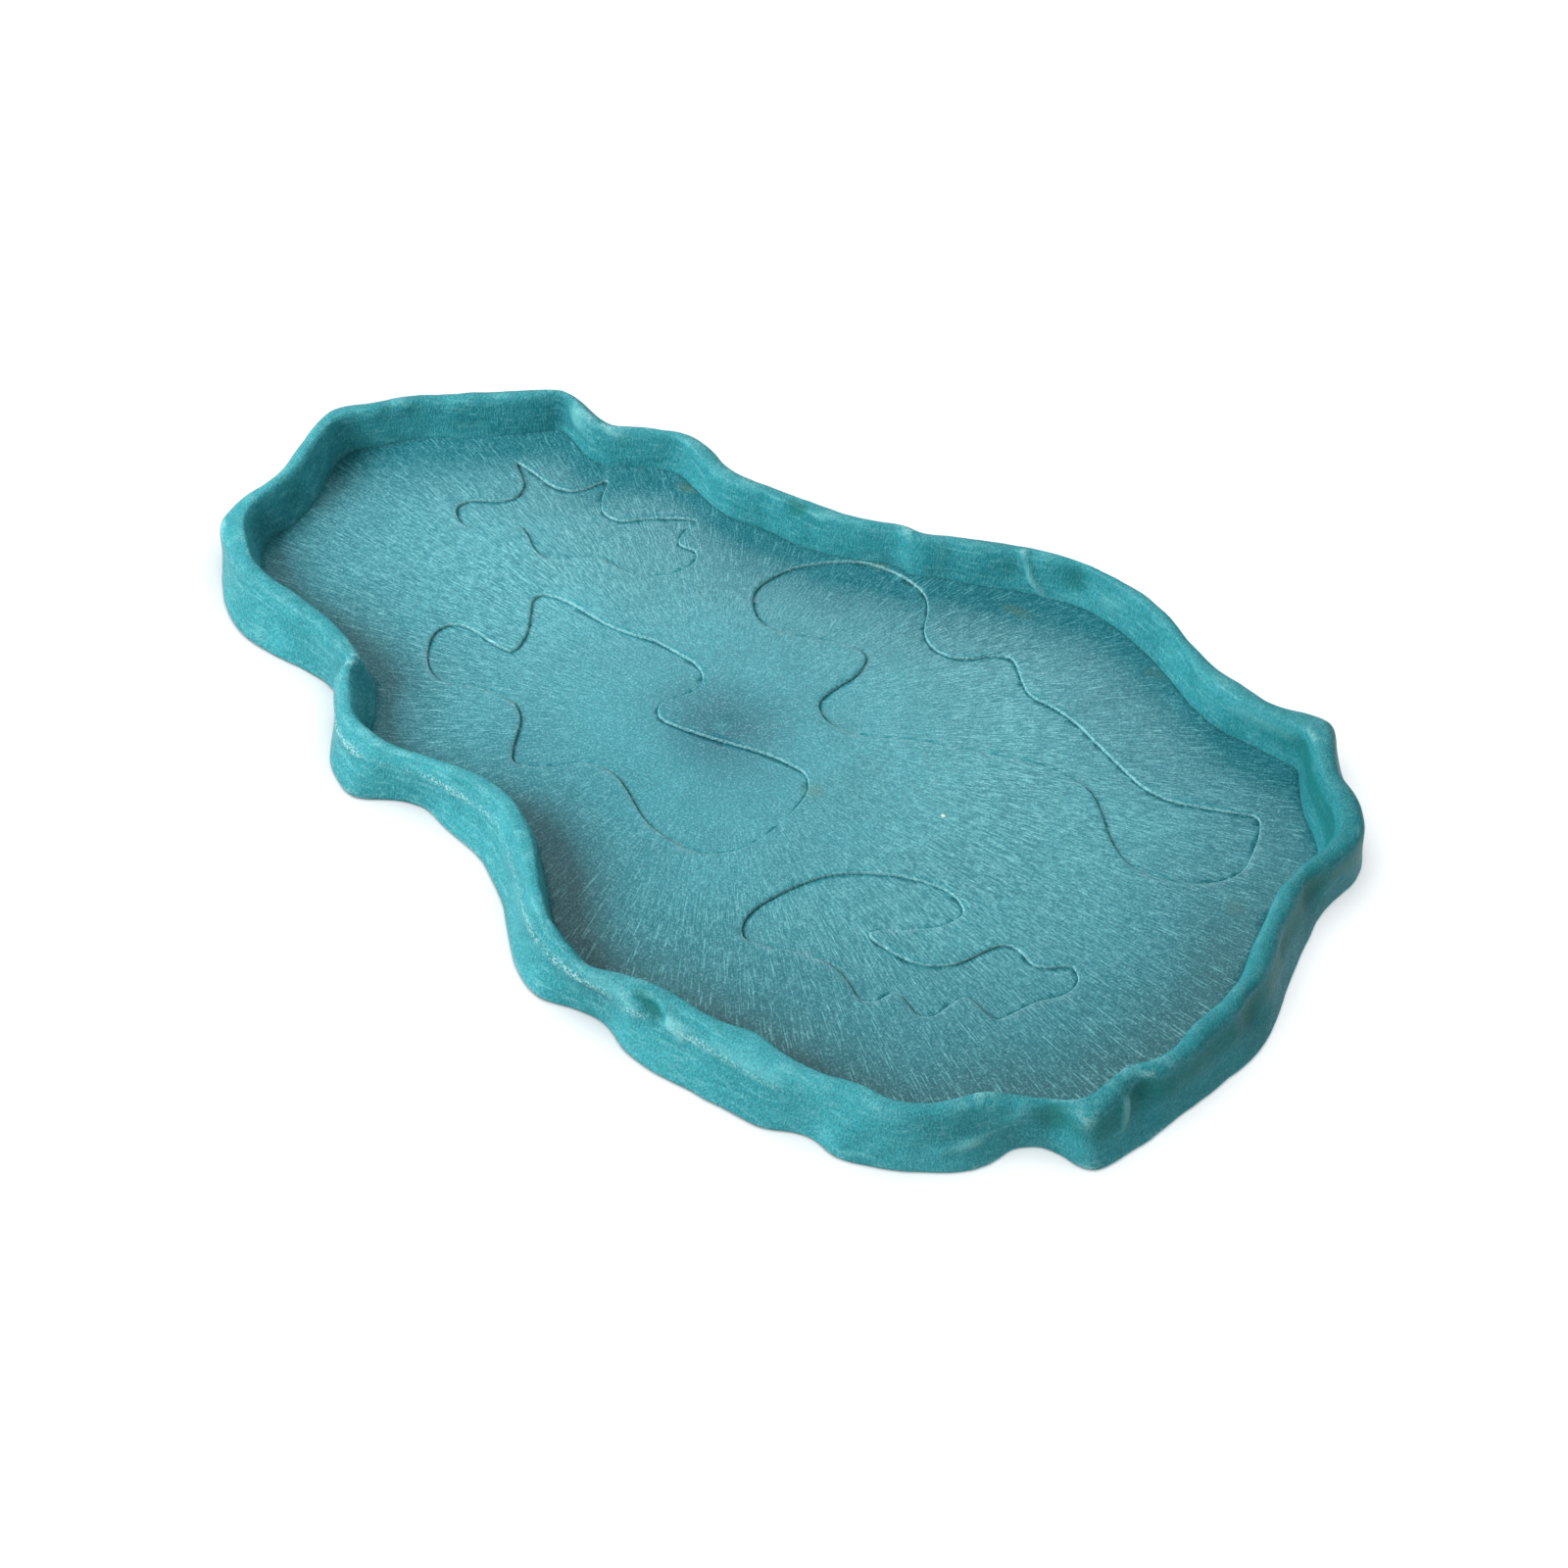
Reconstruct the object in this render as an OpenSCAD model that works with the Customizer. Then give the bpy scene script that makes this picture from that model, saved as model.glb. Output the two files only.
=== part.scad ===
// Shallow casting tray moulded in soft rubber.
// A wavy rim stands round a thin floor sheet, and four shallow pools are sunk into the floor.
// Millimetres, +Z up, origin at the middle of the underside, long side along X.

/* [Tray] */
// Length of the tray along X, over the foot of the rim
tray_length = 305; // [200:5:400]
// Usual height of the lip above the underside
lip_height = 15; // [11:0.5:20]
// Thickness of the floor sheet
floor_thickness = 3; // [2:0.25:4]

/* [Rim] */
// How far the inner face leans out from its foot to the lip
inner_lean = 1.3; // [0.6:0.1:2]
// Width of the lip, as a multiple of the drawn one
lip_fullness = 1; // [0.8:0.05:1.2]
// Width of the foot, as a multiple of the drawn one
foot_fullness = 1; // [0.9:0.05:1.2]
// Radius of the lip's inner edge
lip_round = 1; // [0.6:0.1:1.2]
// How far the lip's outer shoulder drops before the outer face starts
shoulder_drop = 2.4; // [1.8:0.2:3]
// Radius of the edge that the rim stands on
foot_round = 0.6; // [0.3:0.1:1]

/* [Pools] */
// Depth of the pools below the floor
pool_depth = 0.8; // [0.3:0.1:1.2]

/* [Smoothness] */
// Steps between two stations of the rim
rim_steps = 3; // [2:1:4]
// Steps between two points of a pool's edge
pool_steps = 3; // [2:1:5]

/* [Hidden] */

// The outer face is a little hollow: where its middle lies, as a share of its height and width
waist_height = 0.45;
waist_out = 0.45;

// Colours: pearl turquoise, a shade darker where the rubber is thick
pearl = "#57a9b3";
pearl_deep = "#4a98a4";
pearl_light = "#62b3bc";

// The outlines below are drawn near their real size, then centred and scaled to tray_length.

// Stations round the rim, clockwise from the left end.
// Each row: x and y of the lip's inner edge, rise of the lip, width of the lip, width of the foot,
// and where the inner face leans out further than inner_lean, how much further
stations = [
    // left end and its back corner
    [-145, 35, 0, 4, 8, 1],
    [-145, 46, 0, 4.5, 8],
    [-138, 53, 0, 4, 8],
    [-131, 60, 0, 4, 8],
    [-121, 66, 0, 4, 8],
    [-110, 73, 0, 4, 8.5],
    [-102, 79, 0, 3.5, 9],
    [-98, 82, 0, 2.5, 9],
    // back, left half
    [-91, 79.5, 0, 3.5, 8],
    [-84, 76, 0, 4, 7],
    [-79, 76, -0.5, 4, 7],
    [-73, 79, -0.5, 3, 7],
    [-60, 82.5, 0, 3.5, 8.5],
    [-54, 80, -0.5, 5, 8],
    [-47, 76.5, -1, 5, 8],
    [-38, 74.5, -0.5, 5, 9],
    [-29, 75, 0, 4, 9],
    [-20, 74, 0, 5, 9],
    [-10, 75, -0.5, 4.5, 9],
    [0, 77.5, -0.5, 3, 8],
    // back, right half
    [7, 79.5, 0, 2.5, 8],
    [12.5, 78.5, 0, 4, 8],
    [20, 81.5, 0, 3.5, 8],
    [28, 83, 0, 5, 9],
    [38, 86, 0.5, 4, 9],
    [47, 88, 1, 3, 8],
    [57, 89, 1, 2.5, 8],
    [66, 87, 1, 3, 8],
    [77, 82.5, 1, 4, 8],
    [87, 76.5, 0.5, 4, 9],
    [96, 70.5, 0, 5, 10],
    [104, 67, 0.5, 6, 10],
    [113, 66, 0.5, 4, 8],
    [121, 65, 0.5, 6, 8.5],
    [126, 64, 1, 7.5, 10],
    // right end
    [129, 60, 1, 5.5, 10, 0.5],
    [134, 53, 1, 5, 9, 1.8],
    [140, 47, 1, 6, 8, 2.5],
    [143, 40, 0.5, 6.5, 7.5, 1.5],
    [142, 33, 0, 5, 6.5],
    [139, 25, 0, 5, 8],
    [137.5, 17, 0, 5, 9.5],
    [138, 9, 0, 4.5, 9.5],
    [138.5, 1, 0, 5, 9.5],
    [139.5, -9, 0, 5, 10],
    [138, -19, 0, 5, 10.5],
    [135, -28, 0, 5, 10],
    [133.5, -36, 0, 4.5, 8.5],
    [130.5, -41.5, 0, 4.5, 9.5],
    [126.5, -45, 0, 4.5, 12],
    [124.5, -51, 0, 5, 11],
    [121.5, -57, -0.5, 6, 11],
    // front, right half
    [115, -59.5, -2, 4, 5.5],
    [108, -62, -2, 4.5, 7],
    [102, -65.5, -0.5, 5, 10.5],
    [98, -69.5, 0, 5, 11],
    [92, -74.5, 0, 5, 9.5],
    [84, -77.5, 0, 5, 10],
    [77, -77, 0, 5.5, 12],
    [69, -78.5, 0, 4.5, 8.5],
    [60, -78, 0, 5.5, 12],
    [50, -76, 0, 6.5, 13.5],
    [40, -77, 0, 4, 12],
    [30, -75.5, 0, 5, 13],
    [21, -75.5, 0, 6, 11],
    [14, -76, -1, 4, 6.5],
    [7.5, -76.5, -2, 3.5, 5.5],
    [0, -74, -0.5, 3.5, 10],
    // front, left half
    [-7, -70, 0, 4, 10],
    [-16, -60, 0, 4.5, 9.5],
    [-25, -50, 0, 5, 11],
    [-33, -44.5, 0, 5, 11.5],
    [-41, -42, 0, 5, 11.5],
    [-50, -42, 0, 4, 9.5],
    [-58.5, -42.5, -1, 3, 6],
    [-66, -43.5, -1, 3, 6.5],
    [-73, -43.5, 0, 3.5, 10.5],
    [-80, -41, 0, 4, 9],
    [-86, -34.5, 0, 4, 6.5, 3],
    [-90, -28, 0, 4, 6, 3],
    [-91, -24, 0, 4, 7.5, 1.5],
    [-96, -20.5, 0, 4.5, 7],
    [-106, -16, 0, 5, 9.5],
    [-117, -13.5, 0, 5, 11],
    [-126, -12, 0, 5, 11],
    [-134, -8.5, 0, 5, 10],
    [-140, -3, 0, 6, 9, 0.5],
    [-144.5, 2.5, 0, 6.5, 8, 1.5],
    [-146, 8, 0, 5, 8, 2],
    [-144.5, 15, 0, 4, 8, 2.5],
    [-143.5, 24, 0, 4, 8, 2]
];

// Edges of the four pools
back_left_pool = [
    [-101, 64], [-95, 63], [-88, 61], [-82, 62], [-79, 65], [-76, 70], [-74, 64], [-71, 59],
    [-66, 58], [-60, 62], [-53, 66], [-47, 68], [-48, 63], [-47, 58], [-42, 58], [-40, 55],
    [-41, 51], [-45, 46], [-51, 43], [-57, 43], [-63, 44], [-68, 41], [-74, 37], [-79, 38],
    [-84, 42], [-88, 44], [-93, 41], [-98, 37], [-103, 38], [-106, 42], [-104, 46], [-98, 49],
    [-94, 53], [-95, 58], [-98, 61]
];
front_left_pool = [
    [-69, 25], [-62, 26], [-55, 25], [-49, 24], [-42, 24], [-35, 25], [-28, 24], [-22, 23],
    [-18, 20], [-17, 16], [-20, 11], [-23, 7], [-21, 3], [-15, 2.5], [-8, 3], [0, 4],
    [7, 5], [14, 5], [20, 4], [23, 0], [23, -8], [21, -17], [17, -25], [10, -30],
    [2, -30], [-6, -28], [-11, -25], [-15, -22], [-20, -19], [-25, -18], [-30, -19], [-35, -23],
    [-40, -26], [-45, -27], [-48, -22], [-51, -14], [-55, -10.5], [-62, -10], [-69, -11],
    [-75, -13], [-80, -11], [-84, -6], [-86, 1], [-84, 5], [-78, 6], [-71, 4.5], [-65, 4.5],
    [-65, 11], [-68, 18], [-70, 23]
];
back_right_pool = [
    [-21, 53], [-19, 60], [-15, 66], [-9, 71], [-2, 75], [6, 76], [13, 75], [19, 72],
    [22, 67], [24, 61], [28, 57], [33, 56], [39, 58], [44, 62], [48, 63], [52, 59],
    [57, 54], [64, 53], [71, 51], [79, 47], [87, 43], [95, 39.5], [103, 39], [111, 41],
    [118, 43], [123, 44], [125, 40], [126, 33], [126, 27], [122, 21], [115, 17], [108, 15.5],
    [101, 16], [95, 20], [90, 26], [84, 32], [77, 34], [69, 34], [60, 32], [51, 30],
    [44, 28], [37, 26], [30, 23], [23, 21], [16, 22], [12, 26], [13, 32], [16, 40],
    [15, 46], [8, 47], [0, 45], [-8, 43], [-15, 44], [-19, 48]
];
front_right_pool = [
    [29, -44], [29, -39], [31, -34], [35, -27], [40, -21], [46, -17], [54, -13.5], [62, -12],
    [69, -12.5], [73, -16], [71, -21], [65, -26], [58, -30], [56, -32], [62, -34], [69, -34.5],
    [75, -32.5], [79, -29], [82, -24], [86, -19.5], [90, -20], [94, -22], [98, -20.5], [102, -18],
    [105, -21], [104, -26], [99, -31], [96, -36], [93, -40], [88, -38.5], [84, -37.5], [82, -41],
    [80, -46], [77, -47.5], [72, -45], [69, -44.5], [67, -48], [64, -50], [58, -46.5], [51, -44],
    [43, -45], [35, -47], [31, -47]
];

// A closed curve that runs smoothly through every point of a list.
// Its slope at a point leans towards the nearer neighbour, so close points make no loop
function slope(a, b, c) =
    let (ab = norm(b - a), bc = norm(c - b))
    ((b - a) * bc / ab + (c - b) * ab / bc) / (ab + bc);
function between(a, b, c, d, t) =
    let (span = norm(c - b), from = slope(a, b, c) * span, to = slope(b, c, d) * span)
    b * (2 * t ^ 3 - 3 * t ^ 2 + 1) + from * (t ^ 3 - 2 * t ^ 2 + t)
        + c * (3 * t ^ 2 - 2 * t ^ 3) + to * (t ^ 3 - t ^ 2);
function smooth_loop(points, steps) =
    let (n = len(points))
    [for (i = [0 : n - 1], s = [0 : steps - 1])
        between(points[(i + n - 1) % n], points[i], points[(i + 1) % n], points[(i + 2) % n],
                s / steps)];

// Which way is out of the tray at a station: square to the line between its two neighbours
function outward(i) =
    let (n = len(stations),
         before = stations[(i + n - 1) % n],
         after = stations[(i + 1) % n],
         along = [after[0] - before[0], after[1] - before[1]])
    [-along[1], along[0]] / norm(along);

// The rim's cross-section at a station, from its inner foot over the lip to its outer foot.
// Each point: distance out from the lip's inner edge, height above the underside
function section(lip, lip_w, foot_w, lean) = [
    [-lean, 0],
    [-lean, floor_thickness],
    [-lean / 2, (floor_thickness + lip) / 2],
    [-lean / 8, lip - 1.5 * lip_round],
    [lip_round / 4, lip - lip_round / 2],
    [lip_round, lip],
    [lip_w * 0.6, lip],
    [lip_w * 0.9, lip - shoulder_drop / 3],
    [lip_w + lip_round / 4, lip - shoulder_drop],
    [lip_w + (foot_w - lip_w) * waist_out, lip * waist_height],
    [foot_w - foot_round / 3, foot_round * 2.5],
    [foot_w, foot_round],
    [foot_w - foot_round, 0]
];
section_points = len(section(lip_height, 1, 1, inner_lean));
inner_foot = 0;
outer_foot = section_points - 2;
function station_section(i) =
    let (s = stations[i], more_lean = is_undef(s[5]) ? 0 : s[5])
    section(lip_height + s[2], s[3] * lip_fullness, s[4] * foot_fullness, inner_lean + more_lean);

// One rail runs round the rim through the same point of every station's cross-section
function rail(k) =
    smooth_loop(
        [for (i = [0 : len(stations) - 1])
            let (s = stations[i], p = station_section(i)[k], out = outward(i))
            [s[0] + out[0] * p[0], s[1] + out[1] * p[0], p[1]]],
        rim_steps);

// The foot's outline sets the scale, and its middle is the origin
foot_rail = rail(outer_foot);
foot_low = [min([for (p = foot_rail) p[0]]), min([for (p = foot_rail) p[1]])];
foot_high = [max([for (p = foot_rail) p[0]]), max([for (p = foot_rail) p[1]])];
foot_middle = (foot_low + foot_high) / 2;
plan_scale = tray_length / (foot_high[0] - foot_low[0]);
function placed(p) = ([p[0], p[1]] - foot_middle) * plan_scale;
function placed_loop(points) = [for (p = points) placed(p)];
function placed_rail(k) = [for (p = rail(k)) [placed(p)[0], placed(p)[1], p[2]]];

module rim_wall() {
    rails = [for (k = [0 : section_points - 1]) placed_rail(k)];
    rounds = len(rails[0]);
    color(pearl)
        polyhedron(
            points = [for (r = rails, p = r) p],
            faces = [for (k = [0 : section_points - 1], i = [0 : rounds - 1])
                let (k2 = (k + 1) % section_points, i2 = (i + 1) % rounds)
                each [
                    [k * rounds + i, k * rounds + i2, k2 * rounds + i2],
                    [k * rounds + i, k2 * rounds + i2, k2 * rounds + i]
                ]]);
}

module pool_shape(points) {
    polygon(placed_loop(smooth_loop(points, pool_steps)));
}

module floor_sheet() {
    color(pearl_deep)
        linear_extrude(floor_thickness)
            difference() {
                polygon(placed_loop(rail(inner_foot)));
                pool_shape(back_left_pool);
                pool_shape(front_left_pool);
                pool_shape(back_right_pool);
                pool_shape(front_right_pool);
            }
}

module pool_bed(points) {
    color(pearl_light)
        linear_extrude(floor_thickness - pool_depth)
            pool_shape(points);
}

rim_wall();
floor_sheet();
pool_bed(back_left_pool);  // back_left_pool_bed
pool_bed(front_left_pool);  // front_left_pool_bed
pool_bed(back_right_pool);  // back_right_pool_bed
pool_bed(front_right_pool);  // front_right_pool_bed
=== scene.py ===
# %% [markdown]
# # A soft rubber casting tray
# The tray is one pour of pearl turquoise silicone: a wavy rim round a thin floor, with four shallow
# pools sunk into the floor. Resin is poured in, and the rubber is peeled off the cured casting.
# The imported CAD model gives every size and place, so it is loaded first and never changed.

# %% Load the frame
import math

import bmesh
import bpy
import numpy as np
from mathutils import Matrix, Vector, kdtree, noise


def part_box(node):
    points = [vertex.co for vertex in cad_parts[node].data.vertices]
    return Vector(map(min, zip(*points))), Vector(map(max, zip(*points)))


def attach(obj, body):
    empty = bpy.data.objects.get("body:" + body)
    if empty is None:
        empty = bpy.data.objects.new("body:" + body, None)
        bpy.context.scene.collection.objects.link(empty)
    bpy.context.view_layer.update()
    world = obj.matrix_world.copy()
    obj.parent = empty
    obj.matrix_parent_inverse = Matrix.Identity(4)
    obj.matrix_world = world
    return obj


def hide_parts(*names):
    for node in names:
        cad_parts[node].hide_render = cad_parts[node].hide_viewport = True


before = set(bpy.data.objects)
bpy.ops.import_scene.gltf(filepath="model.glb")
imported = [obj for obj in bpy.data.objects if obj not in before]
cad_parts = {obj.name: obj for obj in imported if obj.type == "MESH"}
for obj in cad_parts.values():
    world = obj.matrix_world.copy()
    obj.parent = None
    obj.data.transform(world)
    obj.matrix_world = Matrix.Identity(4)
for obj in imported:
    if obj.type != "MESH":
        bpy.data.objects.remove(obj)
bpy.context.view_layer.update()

MM = 0.001
FLOOR_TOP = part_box("floor_sheet")[1].z
POOL_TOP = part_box("front_left_pool_bed")[1].z
print("floor top", round(FLOOR_TOP / MM, 2), "pool top", round(POOL_TOP / MM, 2))

# %% [markdown]
# ## The camera
# The tray is seen from above its front right, about 50 degrees up. The camera is made before the
# pieces, so that every look at them is from the same place.

# %% Camera
CAMERA_PLACE = Vector((224.6, -383.8, 516.0)) * MM
CAMERA_TARGET = Vector((17.7, -2.9, 0)) * MM
CAMERA_ANGLE = 32

camera_data = bpy.data.cameras.new("camera")
camera_data.angle = math.radians(CAMERA_ANGLE)
camera_data.clip_start = 10 * MM
camera = bpy.data.objects.new("camera", camera_data)
camera.location = CAMERA_PLACE
camera.rotation_euler = (CAMERA_TARGET - CAMERA_PLACE).to_track_quat("-Z", "Y").to_euler()
bpy.context.scene.collection.objects.link(camera)
bpy.context.scene.camera = camera
print("camera distance in mm:", round((CAMERA_TARGET - CAMERA_PLACE).length / MM))

# %% [markdown]
# ## Copying a CAD node
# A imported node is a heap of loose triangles. To sculpt it, its copy is merged into one skin. The
# rim is a ring of cross-sections, so its triangles pair up again into a clean grid of four-sided
# faces, which is what subdivision needs.

# %% Helpers for copies and finished pieces
MERGE = 0.001 * MM
SHARP_TURN = math.radians(30)


def merged_copy(node):
    """A mesh to work on, from a CAD node whose loose triangles are joined up."""
    bm = bmesh.new()
    bm.from_mesh(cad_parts[node].data)
    bmesh.ops.remove_doubles(bm, verts=bm.verts, dist=MERGE)
    return bm


def new_piece(name, bm):
    """An object at the origin that holds the mesh, shaded smooth."""
    bm.normal_update()
    mesh = bpy.data.meshes.new(name)
    bm.to_mesh(mesh)
    bm.free()
    mesh.shade_smooth()
    piece = bpy.data.objects.new(name, mesh)
    bpy.context.scene.collection.objects.link(piece)
    return piece


def stand_for(piece, node):
    """The piece takes the node's place and rides with the body."""
    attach(piece, "root")
    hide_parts(node)


def at_height(edge, height):
    """True if both ends of the edge lie at that height."""
    return all(abs(v.co.z - height) < MERGE for v in edge.verts)


rim = merged_copy("rim_wall")
bmesh.ops.join_triangles(rim, faces=rim.faces, angle_face_threshold=math.pi,
                         angle_shape_threshold=math.pi, topology_influence=2)
print("rim grid:", len(rim.faces), "faces, all four-sided:", all(len(f.verts) == 4 for f in rim.faces))

# %% [markdown]
# ## The rim's form
# The real rim was cast round a hand-cut pattern, so it has no hard edge except where it stands on
# the table and where it meets the floor. Those two are creased, and Catmull-Clark subdivision
# rounds everything else. The tall faces of the wall are cut once more first, because the dents and
# folds that come later need small faces there.

# %% Subdivide the rim
TALL_STEP = 3.2 * MM
RIM_LEVELS = 2

tall = [e for e in rim.edges if abs(e.verts[0].co.z - e.verts[1].co.z) > TALL_STEP]
bmesh.ops.subdivide_edges(rim, edges=tall, cuts=1, use_grid_fill=True)
crease = rim.edges.layers.float.new("crease_edge")
for edge in rim.edges:
    on_table = at_height(edge, 0) and edge.calc_face_angle() > SHARP_TURN
    if on_table or at_height(edge, FLOOR_TOP):
        edge[crease] = 1
hold = rim.verts.layers.float.new("hold")
for point in rim.verts:
    point[hold] = any(abs(point.co.z - height) < MERGE for height in (0, FLOOR_TOP))
rim_cage = new_piece("rim_cage", rim)
smoothing = rim_cage.modifiers.new("smooth", "SUBSURF")
smoothing.levels = smoothing.render_levels = RIM_LEVELS
smoothing.use_limit_surface = False
smooth_rim = bpy.data.meshes.new_from_object(rim_cage.evaluated_get(bpy.context.evaluated_depsgraph_get()))
bpy.data.objects.remove(rim_cage)
print("smooth rim:", len(smooth_rim.vertices), "points")

# %% [markdown]
# ## Dents, folds and waves
# Soft rubber keeps every mark of the pattern it was cast on: pressed spots on the shoulder, upright
# folds in the inner face, and slow waves all along the wall. Each is a small push along the
# surface's own direction that fades with distance. A mark only touches skin that faces its own
# way, so a dent in the inner face leaves the outer one alone. A solver for soft bodies would add
# nothing here, since the rubber was cast with its marks and lies flat under its own weight.

# %% Sculpting tools


def read_points(mesh):
    """Places and directions of all the mesh's points, in millimetres."""
    count = len(mesh.vertices)
    places = np.empty(count * 3)
    mesh.vertices.foreach_get("co", places)
    facing = np.array([n.vector for n in mesh.vertex_normals])
    return places.reshape(-1, 3) / MM, facing


def read_values(mesh, name):
    """One number for each point, from an attribute."""
    values = np.empty(len(mesh.vertices), np.float32)
    mesh.attributes[name].data.foreach_get("value", values)
    return values


def write_values(mesh, name, values):
    """Keeps one number for each point in a new attribute."""
    mesh.attributes.new(name, "FLOAT", "POINT").data.foreach_set("value", values.astype(np.float32))


def write_points(mesh, places):
    """Moves all the mesh's points, given in millimetres."""
    mesh.vertices.foreach_set("co", (places * MM).ravel())
    mesh.update()


def fade(values, low, high):
    """0 below low, 1 above high and a smooth step in between."""
    t = np.clip((values - low) / (high - low), 0, 1)
    return t * t * (3 - 2 * t)


def distance_to_path(places, path):
    """How far each place is from a path of straight stretches."""
    best = np.full(len(places), np.inf)
    for start, end in zip(path, path[1:]):
        start, along = np.array(start), np.subtract(end, start)
        t = np.clip((places - start) @ along / (along @ along), 0, 1)
        best = np.minimum(best, np.linalg.norm(places - start - t[:, None] * along, axis=1))
    return best


def mark(places, facing, path, reach, push, side):
    """Push of a dent (below 0) or a fold (above 0) along a path, on skin that faces the side."""
    if len(path) == 1:
        away = np.linalg.norm(places - np.array(path[0]), axis=1)
    else:
        away = distance_to_path(places, path)
    side = np.array(side) / np.linalg.norm(side)
    return push * np.exp(-(away / reach) ** 2) * fade(facing @ side, 0, 0.5)


def swell(place, size, seed):
    """Smooth noise between about -1 and 1 at a place, with swells of the given size, both in mm."""
    shift = Vector((seed * 17.3, seed * 5.1, seed * 9.7))
    return noise.noise(place / size + shift)


def waves(places, size, seed):
    """The same noise at many places."""
    return np.array([swell(Vector(place), size, seed) for place in places])


def distance_to_floor(places, outline):
    """How far each place is from the floor's outline, seen from above."""
    tree = kdtree.KDTree(len(outline))
    for index, place in enumerate(outline):
        tree.insert((place[0], place[1], 0), index)
    tree.balance()
    return np.array([tree.find((x, y, 0))[2] for x, y in places[:, :2]])


# %% [markdown]
# ## The rim's own marks
# The marks are listed one by one, since each is a feature of this tray: the upright folds and
# pressed spots of the inner face, the crease in the middle of the front, the ridge and the saddle
# at the front right corner, and the shallow hollows under the lip at the right end.

# %% Marks on the rim
# Each mark: its path in millimetres, its reach, its push, and the way that the skin faces
RIM_MARKS = [
    # inner face of the back wall
    ([(-88, 76, 12), (-76, 77, 12)], 4, 0.9, (0.2, -1, 0.4)),
    ([(-19, 72, 14)], 4, -1.3, (0, -1, 0.6)),
    ([(14, 77, 14), (14.5, 76, 3)], 1.6, -0.6, (0, -1, 0)),
    ([(20, 79, 12), (20, 78, 5)], 3, 0.5, (0, -1, 0)),
    ([(41, 84, 15), (44, 83, 8), (48, 82.5, 3)], 1.2, 1.1, (0, -1, 0.2)),
    ([(38, 83, 9)], 4, -0.6, (0, -1, 0)),
    ([(55, 85, 11)], 5, -0.9, (0, -1, 0.3)),
    ([(66, 85, 9)], 4, 0.6, (0, -1, 0)),
    ([(110, 63, 12), (123, 60, 12)], 3, 0.5, (0, -1, 0.4)),
    # lip and inner face at the left
    ([(-134, 52, 15)], 2, -0.7, (0.5, -0.5, 1)),
    ([(-130, 55, 15)], 2.5, 0.5, (0.5, -0.5, 1)),
    ([(-138, 4, 13), (-131, 2, 4)], 2.5, 0.7, (1, 0.6, 0)),
    ([(-140, 16, 9)], 5, -0.7, (1, 0, 0)),
    # outer shoulder along the front
    ([(25, -84, 14), (30, -86, 12.5)], 2.6, -1.4, (0, -1, 0.8)),
    ([(31, -84, 13.5), (37, -86, 9.5)], 1.5, 0.8, (0, -1, 0.5)),
    ([(33, -85, 11), (42, -83, 11.5)], 1.8, 0.8, (0, -1, 0.5)),
    ([(24, -86, 13), (12, -84, 13)], 2.5, 0.6, (0, -1, 0.8)),
    ([(46, -87, 12.6), (62, -88, 12.6)], 3, 0.5, (0, -1, 0.8)),
    ([(100, -82, 5), (108, -77, 7.5), (113, -71, 10.5)], 1.5, 0.9, (0.3, -1, 0)),
    ([(119, -65, 10)], 4.5, -1.6, (0.3, -1, 0.4)),
    ([(132, -56, 12), (132, -58, 8), (130.5, -62, 3)], 1.6, 0.9, (0.5, -1, 0.2)),
    ([(127, -60, 13), (127.5, -63, 8), (127.5, -65, 2)], 2.2, -0.8, (0.2, -1, 0)),
    # outer face at the right end: hollows under the lip
    ([(133.5, -50, 11), (137, -38, 11.5)], 2.6, -1.2, (1, -0.6, 0.2)),
    ([(138.5, -33, 11), (142, -26, 10.5)], 2.4, -1.0, (1, -0.3, 0)),
    ([(145, -18.5, 9.5)], 4.5, -1.5, (1, -0.3, 0)),
    ([(147, 1, 11), (147.5, 9, 10)], 2.5, -0.8, (1, 0, 0.2)),
    ([(146, 20, 10.5)], 4.5, -1.5, (1, -0.3, 0.2)),
    # left outer face
    ([(-112, -20, 11), (-103, -24, 4)], 1.2, 0.35, (-0.3, -1, 0)),
    ([(-147, -6, 12), (-151, -4, 4)], 4, 0.5, (-1, -0.6, 0)),
]
print(len(RIM_MARKS), "marks on the rim")

# %% [markdown]
# ## Pushing the skin
# Besides the marks, a broken shoulder runs below the lip along the front, with a shallow groove
# above it, where the pattern had been carved. Swells of four sizes make the rest uneven. Points on
# the table and at the wall's foot are held, so that the rim still stands flat and meets the floor.

# %% Push the rim's skin
SHOULDER_HEIGHT, SHOULDER_WIDTH, SHOULDER_PUSH = 10.6, 1.2, 0.7
GROOVE_HEIGHT, GROOVE_WIDTH, GROOVE_SHARE = 13.2, 1.0, 0.6
BREAK_SIZE, BREAK_SEED, BREAK_MEAN, BREAK_SWING = 7, 11, 0.75, 0.9
OUTER_FACE = (3.2, 5.5)
FRONT_BEGINS = (15, 45)
FRONT_ENDS = (-85, -45)
SWELLS = [(22, 0.45, 1), (9, 0.28, 2), (4, 0.12, 3), (1.8, 0.04, 4)]


def band(heights, centre, width):
    """1 at the centre height, fading to 0 above and below it."""
    return np.exp(-((heights - centre) / width) ** 2)


def shoulder_push(places, beyond):
    """Push of the broken shoulder and its groove, on the outer face along the front."""
    x, y, high = places.T
    push = band(high, SHOULDER_HEIGHT, SHOULDER_WIDTH)
    push -= GROOVE_SHARE * band(high, GROOVE_HEIGHT, GROOVE_WIDTH)
    push *= BREAK_MEAN + BREAK_SWING * waves(places * (1, 1, 0), BREAK_SIZE, BREAK_SEED)
    push *= fade(beyond, *OUTER_FACE) * fade(-y, *FRONT_BEGINS) * fade(-x, *FRONT_ENDS)
    return SHOULDER_PUSH * push


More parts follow.
